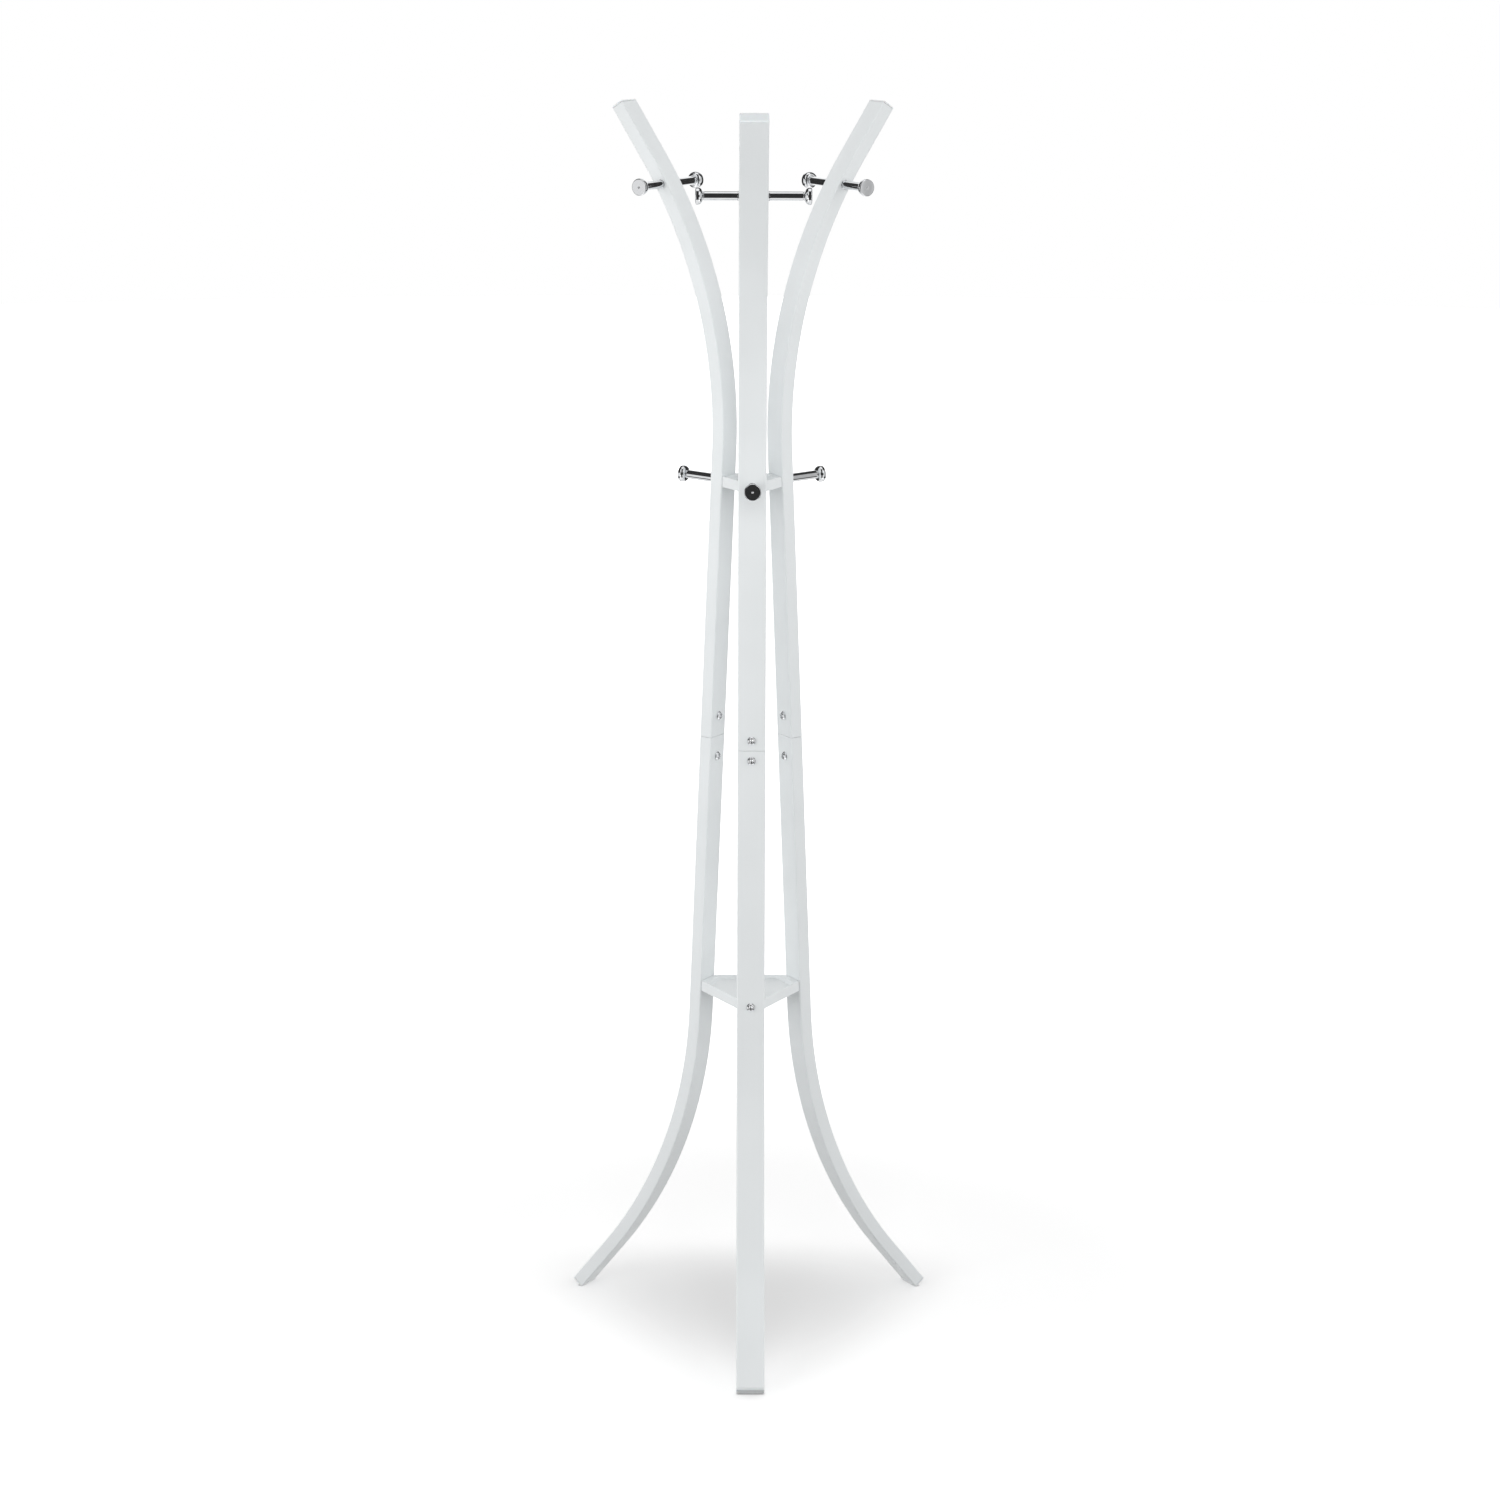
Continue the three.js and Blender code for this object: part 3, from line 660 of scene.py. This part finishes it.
def nut_mesh():
    corner = NUT_ACROSS / 2 + NUT_CORNER
    mouth = THREAD / 2 + NUT_MOUTH
    bore = THREAD / 2 + NUT_BORE
    rings = [
        circle(mouth, 0),
        hexagon(NUT_ACROSS, 0, corner),
        hexagon(NUT_ACROSS, NUT_CHAMFER),
        hexagon(NUT_ACROSS, NUT_HEIGHT - NUT_CHAMFER),
        hexagon(NUT_ACROSS, NUT_HEIGHT, corner),
        circle(mouth, NUT_HEIGHT),
        circle(bore, NUT_HEIGHT - NUT_CHAMFER),
        circle(bore, NUT_CHAMFER),
    ]
    return holed("nut", loft(rings, joined=True), [])


def stud_mesh(start, end):
    first, last = (circle(THREAD / 2 - TIP, height, STUD_SIDES) for height in (start, end))
    return holed("stud", loft([first, *thread(start + TIP, end - TIP, STUD_SIDES), last]), [])


nut = nut_mesh()
bolt_stud = stud_mesh(-(FACE + GAP + PEG_BORE_DEPTH - THREAD_STICKOUT), BOLT_END)
reach = SIDE + GAP + PEG_BORE_DEPTH - THREAD_STICKOUT
peg_stud = stud_mesh(-reach, reach)
RIGHTWARDS = Vector((0, 1, 0))
for post in POSTS:
    for half, node in (("upper", "middle_peg_nut"), ("lower", "tray_nut")):
        place = station(post, half, BOLT_HEIGHT) @ pointing(INWARDS, NUT_FACE)
        stand_for(f"{post}_{node}_m6", nut, [zinc_plate], f"{post}_{node}", place)
    for stud, node, distance, direction in (
        (bolt_stud, "middle_peg_stud", BOLT_HEIGHT, INWARDS),
        (peg_stud, "upper_peg_stud", UPPER_PEG_DISTANCE, RIGHTWARDS),
    ):
        place = station(post, "upper", distance) @ pointing(direction, 0)
        stand_for(f"{post}_{node}_m6", stud, [zinc_plate], f"{post}_{node}", place)


# ---- End caps ----
# White moulded polyethylene caps push into the tube's ends. Each has a flange as large as the tube and a
# hollow ribless plug. The foot caps wear flat where they meet the floor.

CAP_FLANGE = 2.5 * MM
PLUG_DEPTH = 15 * MM
PLUG_WALL = 2 * MM
CAP_ROUND = 2.1 * MM
CAP_STEPS = 6
CAP_EDGE = 0.15 * MM  # at the flange's back
CAP_LEAST_CORNER = 0.6 * MM
PLUG_LEAD = 1 * MM  # taper at the plug's mouth
PLUG_CORNER = 0.3 * MM  # inside the plug


def cap_skin(place):
    """A cap on the tube's end, z out of the tube: up inside its plug, round it, and over the flange."""
    plug_depth = TUBE_DEPTH - 2 * TUBE_WALL - 2 * GAP
    plug_width = TUBE_WIDTH - 2 * TUBE_WALL - 2 * GAP
    hollow = 2 * PLUG_WALL

    def ring(inset, height):
        corner = max(TUBE_CORNER - inset, CAP_LEAST_CORNER)
        return outline(TUBE_DEPTH - 2 * inset, TUBE_WIDTH - 2 * inset, corner, height, place)

    corner = TUBE_CORNER - TUBE_WALL
    rings = [
        outline(plug_depth - hollow, plug_width - hollow, PLUG_CORNER, CAP_FLANGE / 3, place),
        outline(plug_depth - hollow, plug_width - hollow, PLUG_CORNER, -PLUG_DEPTH, place),
        outline(plug_depth - PLUG_LEAD, plug_width - PLUG_LEAD, corner, -PLUG_DEPTH, place),
        outline(plug_depth, plug_width, corner, PLUG_LEAD - PLUG_DEPTH, place),
        outline(plug_depth, plug_width, corner, GAP, place),
        ring(CAP_EDGE, GAP),
        ring(0, GAP + CAP_EDGE),
    ]
    top = GAP + CAP_FLANGE
    for k in range(CAP_STEPS + 1):
        angle = math.pi / 2 * k / CAP_STEPS
        rings.append(ring(CAP_ROUND * (1 - math.cos(angle)), top - CAP_ROUND * (1 - math.sin(angle))))
    return loft(rings)


def plastic_looks(wire):
    """Moulded white plastic with a fine spark-eroded texture."""
    place = wire.node("TexCoord", output="Object")
    grain = wire.node("TexNoise", sockets={"Vector": place, "Scale": 1500.0, "Detail": 3.0})
    cloud = wire.node("TexNoise", sockets={"Vector": place, "Scale": 60.0, "Detail": 2.0})
    bump = wire.node("Bump", sockets={"Strength": 0.4, "Distance": 0.00004, "Height": grain})
    return {
        "Base Color": cloud.ramp(0.3, 0.7).mixed((0.815, 0.840, 0.845, 1), (0.840, 0.862, 0.868, 1)),
        "Roughness": grain.ramp(0.3, 0.7, 0.42, 0.55),
        "Subsurface Weight": 0.05,
        "Normal": bump,
    }


cap_plastic = finish("cap_plastic", plastic_looks)
for post in POSTS:
    top = cap_skin(station(post, "upper", TUBE_LENGTH))
    name = f"{post}_top_plug"
    stand_for(name, holed(name, top, []), [cap_plastic], f"{post}_top_cap")

    foot = cap_skin(station(post, "lower", TUBE_LENGTH))
    everything = foot.verts[:] + foot.edges[:] + foot.faces[:]
    floor_cut = bmesh.ops.bisect_plane(
        foot, geom=everything, plane_co=(0, 0, 0), plane_no=(0, 0, 1), clear_inner=True
    )
    cut_edges = [e for e in floor_cut["geom_cut"] if isinstance(e, bmesh.types.BMEdge)]
    bmesh.ops.contextual_create(foot, geom=cut_edges)
    name = f"{post}_foot_plug"
    stand_for(name, holed(name, foot, []), [cap_plastic], f"{post}_foot_cap")


# ---- Plate and tray ----
# Both are pressed from 1.5 mm sheet: a triangle whose corners are cut off where the posts stand, with a
# skirt folded down all round and the middle pressed into a shallow dish. They are coated like the posts.

SKIRT_HEIGHT = 15 * MM
CORNER_SETBACK = 1 * MM
SIDE_RIM = 1.8 * MM
NUT_ROOM = 1 * MM
CORNER_RIM = BOLT_END + NUT_ROOM - SKIRT_FACE
DISH_SLOPE = 5.2 * MM  # along the floor, from the rim to the dish's level
DISH_DEPTH = 5 * MM
DISH_STEPS = 8
FOLD = 1.3 * MM  # radius of the fold between the top and the skirt
FOLD_INSIDE = 0.4 * MM
FOLD_STEPS = 6
FOLD_LEAST_CORNER = 1.2 * MM
SKIRT_CORNER = 1.8 * MM
SKIRT_EDGE = 0.3 * MM  # rounding of the skirt's lower edge
DISH_CORNER = 8 * MM
PAN_ARC_STEPS = 5
PAN_TOP = NUT_ACROSS / 2 + NUT_ROOM + SHEET
PAN_BOTTOM = PAN_TOP - SKIRT_HEIGHT


def pan_ring(corner_distance, side_inset, corner_inset, height, corner):
    """A six-sided ring with rounded corners. Its corner faces lean with the posts."""
    half = SIDE - CORNER_SETBACK
    side = corner_distance * math.cos(math.pi / 3) + half * math.sin(math.pi / 3) - side_inset
    face = corner_distance - height * math.tan(POST_LEAN) - corner_inset
    points = []
    for azimuth in sorted(POSTS.values()):
        for first, (near, far) in enumerate(((face, side), (side, face))):
            start = math.radians(azimuth + 60 * first)
            near, far = near - corner, far - corner
            across = (far - near * math.cos(math.pi / 3)) / math.sin(math.pi / 3)
            middle = Vector((near, across, 0))
            for k in range(PAN_ARC_STEPS + 1):
                angle = math.pi / 3 * k / PAN_ARC_STEPS
                point = middle + corner * Vector((math.cos(angle), math.sin(angle), 0))
                point = Matrix.Rotation(start, 4, "Z") @ point
                points.append(Vector((point.x, point.y, height)))
    return points


def pan(name, height):
    """A pan in place, its bolts at a height along the posts from the seam."""
    distance = seam_radius - SKIRT_FACE * math.cos(POST_LEAN) - height * math.sin(POST_LEAN)
    level = seam_height - SKIRT_FACE * math.sin(POST_LEAN) + height * math.cos(POST_LEAN)
    profile = []  # side inset, corner inset, height and corner radius, from under the dish to its floor
    wall = []
    for k in range(DISH_STEPS + 1):
        share = k / DISH_STEPS
        wall.append((share * DISH_SLOPE, share * share * (3 - 2 * share) * DISH_DEPTH))
    for run, drop in wall[::-1]:
        run -= SHEET / 2
        profile.append((SIDE_RIM + run, CORNER_RIM + run, PAN_TOP - SHEET - drop, DISH_CORNER))
    inner_corner = SKIRT_CORNER - SHEET
    skirt = [  # inset, height and corner radius
        (SHEET + FOLD_INSIDE, PAN_TOP - SHEET, inner_corner),
        (SHEET, PAN_TOP - SHEET - FOLD_INSIDE, inner_corner),
        (SHEET, PAN_BOTTOM + SKIRT_EDGE, inner_corner),
        (SHEET - SKIRT_EDGE, PAN_BOTTOM, inner_corner),
        (SKIRT_EDGE, PAN_BOTTOM, SKIRT_CORNER - SKIRT_EDGE),
        (0, PAN_BOTTOM + SKIRT_EDGE, SKIRT_CORNER),
    ]
    for k in range(FOLD_STEPS + 1):
        angle = math.pi / 2 * k / FOLD_STEPS
        inset = FOLD * (1 - math.cos(angle))
        drop = FOLD * (1 - math.sin(angle))
        skirt.append((inset, PAN_TOP - drop, max(SKIRT_CORNER - inset, FOLD_LEAST_CORNER)))
    profile += [(inset, inset, up, corner) for inset, up, corner in skirt]
    for run, drop in wall:
        profile.append((SIDE_RIM + run, CORNER_RIM + run, PAN_TOP - drop, DISH_CORNER))
    skin = loft([pan_ring(distance, *entry) for entry in profile])
    place = Matrix.Translation((0, axis_y, level))
    bmesh.ops.transform(skin, matrix=place, verts=skin.verts)
    drills = []
    along = Vector((math.cos(POST_LEAN), 0, math.sin(POST_LEAN))) * 2 * SHEET
    for azimuth in POSTS.values():
        turn = place @ Matrix.Rotation(math.radians(azimuth), 4, "Z")
        middle = Vector((distance, 0, 0))
        drills.append((HOLE, turn @ (middle - along), turn @ (middle + along)))
    return holed(name, skin, drills)


stand_for("tie_plate", pan("tie_plate", BOLT_HEIGHT), [powder_coat], "upper_plate")
stand_for("umbrella_tray", pan("umbrella_tray", -BOLT_HEIGHT), [powder_coat], "lower_tray")


# ---- Pegs ----
# Turned steel pegs, all alike, polished and chrome plated. Each screws on to a stud and seats on the post
# with a thin ring. Its head has a rounded back and a barely domed face with the lathe's fine rings and
# centre mark.

PEG_LENGTH = 59 * MM
PEG_ROD = 12.5 * MM / 2
PEG_HEAD = 24 * MM / 2
PEG_RIM = 4 * MM
PEG_SHOULDER = 6.2 * MM
PEG_EDGE = 1.5 * MM
PEG_CROWN = 0.35 * MM  # how far the face falls away from its middle to its edge
PEG_SEAT = 14 * MM / 2
PEG_SEAT_THICKNESS = 1.5 * MM
PEG_GROOVE = 46.6 * MM  # height of the groove behind the head
PEG_GROOVE_WIDTH = 1.2 * MM
PEG_GROOVE_DEPTH = 0.45 * MM
PEG_BORE_CONE = 1.6 * MM
PEG_BORE_POINT = 0.2  # of the bore's radius, at the cone's point
PEG_BORE_CHAMFER = 0.5 * MM
PEG_SEAT_EDGE = 0.25 * MM
PEG_SEAT_BEVEL = 0.3 * MM
CENTRE_MARK = 1.6 * MM
CENTRE_MARK_BEVEL = 0.3 * MM
CENTRE_MARK_LIP = 0.16 * MM
CENTRE_MARK_DEPTH = 0.75 * MM
CENTRE_MARK_POINT = 0.15 * MM
LATHE_PITCH = 0.22 * MM
GROOVE_STEPS = 6
SHOULDER_STEPS = 12
EDGE_STEPS = 6
FACE_STEPS = 6
PEG_SIDES = 96


def peg_mesh():
    """A peg standing on z = 0, bored from below, as rings from the bore's floor to the face."""
    bore = HOLE / 2
    profile = [(bore * PEG_BORE_POINT, PEG_BORE_DEPTH + PEG_BORE_CONE), (bore, PEG_BORE_DEPTH)]
    profile += [(bore, PEG_BORE_CHAMFER), (bore + PEG_BORE_CHAMFER, 0)]
    profile += [(PEG_SEAT - PEG_SEAT_EDGE, 0), (PEG_SEAT, PEG_SEAT_EDGE)]
    profile += [(PEG_SEAT, PEG_SEAT_THICKNESS - PEG_SEAT_BEVEL)]
    profile += [(PEG_SEAT - PEG_SEAT_BEVEL, PEG_SEAT_THICKNESS)]
    profile += [(PEG_ROD, PEG_SEAT_THICKNESS), (PEG_ROD, PEG_GROOVE)]
    for k in range(1, GROOVE_STEPS):
        share = k / GROOVE_STEPS
        depth = PEG_GROOVE_DEPTH * math.sin(math.pi * share)
        profile.append((PEG_ROD - depth, PEG_GROOVE + PEG_GROOVE_WIDTH * share))
    profile.append((PEG_ROD, PEG_GROOVE + PEG_GROOVE_WIDTH))
    for k in range(SHOULDER_STEPS + 1):
        angle = math.pi / 2 * k / SHOULDER_STEPS
        up = PEG_LENGTH - PEG_RIM - PEG_SHOULDER * math.cos(angle)
        profile.append((PEG_ROD + (PEG_HEAD - PEG_ROD) * math.sin(angle), up))
    for k in range(EDGE_STEPS + 1):
        angle = math.pi / 2 * k / EDGE_STEPS
        inset = PEG_EDGE * (1 - math.cos(angle))
        profile.append((PEG_HEAD - inset, PEG_LENGTH - PEG_CROWN - PEG_EDGE * (1 - math.sin(angle))))
    face_radius = PEG_HEAD - PEG_EDGE
    for k in range(1, FACE_STEPS + 1):
        radius = face_radius + (CENTRE_MARK - face_radius) * k / FACE_STEPS
        profile.append((radius, PEG_LENGTH - PEG_CROWN * (radius / face_radius) ** 2))
    profile.append((CENTRE_MARK - CENTRE_MARK_BEVEL, PEG_LENGTH - CENTRE_MARK_LIP))
    profile.append((CENTRE_MARK_POINT, PEG_LENGTH - CENTRE_MARK_DEPTH))
    skin = loft([circle(radius, up, PEG_SIDES) for radius, up in profile])
    mesh = holed("peg", skin, [])
    for face in mesh.polygons:
        middle = face.center
        if middle.z > PEG_LENGTH - PEG_RIM and math.hypot(middle.x, middle.y) < face_radius:
            face.material_index = 1
    return mesh


def polish_looks(wire):
    """Polished chrome: nearly a mirror, with the finest lines round the rod."""
    place = wire.node("TexCoord", output="Object")
    _, _, up = place.parts()
    lines = wire.node("TexNoise", {"noise_dimensions": "1D"}, {"W": up, "Scale": 3500.0, "Detail": 2.0})
    smudge = wire.node("TexNoise", sockets={"Vector": place, "Scale": 110.0, "Detail": 3.0})
    bump = wire.node("Bump", sockets={"Strength": 0.12, "Distance": 0.000006, "Height": lines})
    return {
        "Base Color": smudge.ramp(0.3, 0.7).mixed((0.74, 0.75, 0.77, 1), (0.80, 0.81, 0.82, 1)),
        "Metallic": 1.0,
        "Roughness": smudge.ramp(0.35, 0.7, 0.05, 0.11),
        "Normal": bump,
    }


def turned_looks(wire):
    """The head's face: chrome over the lathe's rings, which spread a reflection across them."""
    place = wire.node("TexCoord", output="Object")
    x, y, _ = place.parts()
    radius = wire.maths("SQRT", x * x + y * y)
    rings = wire.maths("SINE", radius * (2 * math.pi / LATHE_PITCH))
    drift = wire.node("TexNoise", {"noise_dimensions": "1D"}, {"W": radius, "Scale": 2600.0, "Detail": 3.0})
    height = rings * 0.4 + drift
    bump = wire.node("Bump", sockets={"Strength": 0.25, "Distance": 0.000008, "Height": height})
    return {
        "Base Color": drift.ramp(0.3, 0.7).mixed((0.66, 0.67, 0.69, 1), (0.78, 0.79, 0.80, 1)),
        "Metallic": 1.0,
        "Roughness": drift.ramp(0.3, 0.7, 0.10, 0.15),
        "Anisotropic": 0.75,
        "Normal": bump,
    }


peg_chrome = finish("peg_chrome", polish_looks)
peg_face = finish("peg_face", turned_looks)
peg = peg_mesh()
for post in POSTS:
    spots = [
        ("middle_peg", BOLT_HEIGHT, OUTWARDS, FACE + GAP),
        ("upper_peg_left", UPPER_PEG_DISTANCE, -RIGHTWARDS, SIDE + GAP),
        ("upper_peg_right", UPPER_PEG_DISTANCE, RIGHTWARDS, SIDE + GAP),
    ]
    for spot, distance, direction, off in spots:
        place = station(post, "upper", distance) @ pointing(direction, off)
        node = f"{post}_{spot}"
        stand_for(f"{node}_turned", peg, [peg_chrome, peg_face], node, place)
